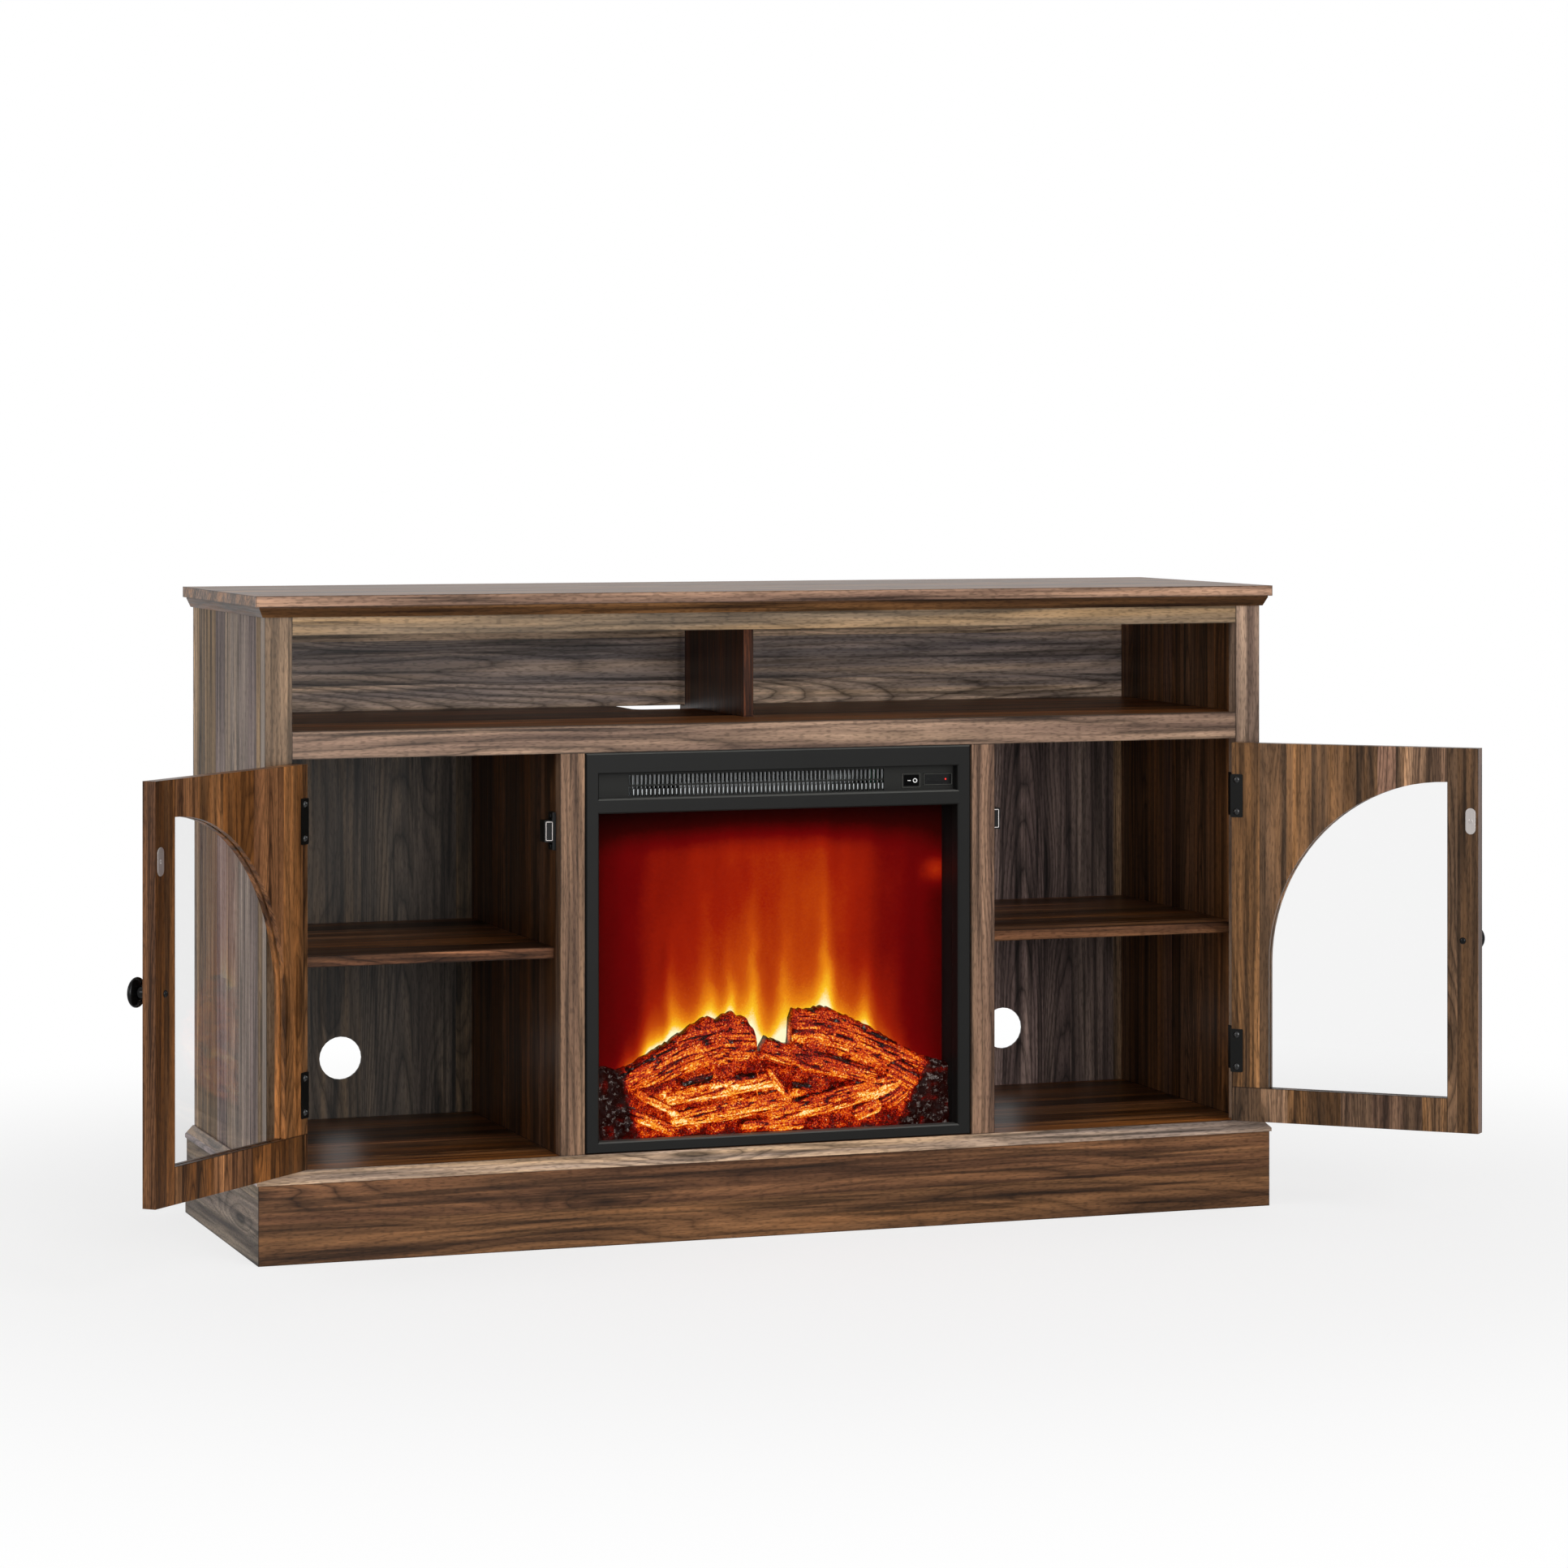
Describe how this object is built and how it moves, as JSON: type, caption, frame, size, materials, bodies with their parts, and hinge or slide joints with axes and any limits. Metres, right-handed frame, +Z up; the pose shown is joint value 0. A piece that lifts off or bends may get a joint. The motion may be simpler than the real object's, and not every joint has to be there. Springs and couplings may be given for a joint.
{
  "type": "fireplace tv stand",
  "caption": "Low walnut-finish TV stand with open upper compartments, arch-glazed hinged doors and an electric fireplace insert in the middle.",
  "frame": {"origin": "on the floor, on the cabinet's centre line, under the front plane of the face frame", "axes": "+X to the right seen from the front, +Y towards the back, +Z up"},
  "size_m": [1.5613, 0.6188, 0.724],
  "materials": {
    "walnut_finish": "walnut-grain laminate on board, satin",
    "walnut_backing": "walnut-grain printed backing board, satin",
    "clear_glass": "clear, polished",
    "black_hardware": "black enamel, semi-gloss",
    "bright_steel": "nickel-plated, brushed",
    "black_steel": "charcoal powder coat, fine texture",
    "zinc_steel": "zinc-plated sheet",
    "black_plastic": "moulded, matt",
    "gloss_plastic": "moulded, glossy",
    "flame_diffuser": "diffusing screen lit from behind",
    "ember_resin": "painted resin, glowing from inside",
    "heater_fins": "bare fins",
    "circuit_board": "green solder mask"
  },
  "bodies": {
    "cabinet": {"top_board": "walnut_finish", "bottom_board": "walnut_finish", "top_rail": "walnut_finish", "middle_rail": "walnut_finish", "upper_partition": "walnut_finish", "upper_floor": "walnut_finish", "side_panel_left": "walnut_finish", "side_panel_right": "walnut_finish", "stile_left": "walnut_finish", "stile_right": "walnut_finish", "divider_left": "walnut_finish", "divider_right": "walnut_finish", "divider_stile_left": "walnut_finish", "divider_stile_right": "walnut_finish", "shelf_left": "walnut_finish", "shelf_right": "walnut_finish", "back_panel_upper": "walnut_backing", "back_panel_left": "walnut_backing", "back_panel_right": "walnut_backing", "crown_moulding": "walnut_finish", "ledge_moulding": "walnut_finish", "base_front": "walnut_finish", "base_left": "walnut_finish", "base_right": "walnut_finish", "base_back": "walnut_finish", "left_upper_hinge_frame_leaf": "black_hardware", "left_lower_hinge_frame_leaf": "black_hardware", "right_upper_hinge_frame_leaf": "black_hardware", "right_lower_hinge_frame_leaf": "black_hardware", "catch_left": "black_plastic", "catch_right": "black_plastic", "insert_frame": "black_steel", "insert_case": "black_steel", "back_cover": "zinc_steel", "cord_gland": "black_plastic", "insert_glass": "clear_glass", "flame_screen": "flame_diffuser", "outlet_panel": "black_plastic", "receiver_window": "gloss_plastic", "heating_element": "heater_fins", "blower_motor": "zinc_steel", "spindle_motor": "zinc_steel", "lamp_board": "circuit_board", "control_board": "circuit_board", "log_set": "ember_resin"},
    "left_door": {"left_door_frame": "walnut_finish", "left_door_glass": "clear_glass", "left_door_knob": "black_hardware", "left_door_striker": "bright_steel", "left_upper_hinge_door_leaf": "black_hardware", "left_lower_hinge_door_leaf": "black_hardware"},
    "right_door": {"right_door_frame": "walnut_finish", "right_door_glass": "clear_glass", "right_door_knob": "black_hardware", "right_door_striker": "bright_steel", "right_upper_hinge_door_leaf": "black_hardware", "right_lower_hinge_door_leaf": "black_hardware"},
    "power_rocker": {"power_rocker": "gloss_plastic"},
    "blower_rotor": {"blower_rotor": "black_plastic"},
    "flame_spindle": {"flame_spindle": "bright_steel"}
  },
  "joints": [
    {"name": "left_door_hinge", "type": "hinge", "parent": "cabinet", "child": "left_door", "pos_m": [-0.5569, -0.0026, 0.3225], "axis": [0, 0, -1], "range_deg": [-134, 41]},
    {"name": "right_door_hinge", "type": "hinge", "parent": "cabinet", "child": "right_door", "pos_m": [0.5569, -0.0026, 0.3225], "axis": [0, 0, 1], "range_deg": [-137, 38]},
    {"name": "power_rocker_tilt", "type": "hinge", "parent": "cabinet", "child": "power_rocker", "pos_m": [0.161, 0.0148, 0.5053], "axis": [0, 0, 1], "range_deg": [0, 18]},
    {"name": "blower_spin", "type": "hinge", "parent": "cabinet", "child": "blower_rotor", "pos_m": [-0.022, 0.084, 0.506], "axis": [1, 0, 0], "continuous": true},
    {"name": "flame_spin", "type": "hinge", "parent": "cabinet", "child": "flame_spindle", "pos_m": [0, 0.092, 0.1488], "axis": [1, 0, 0], "continuous": true}
  ]
}
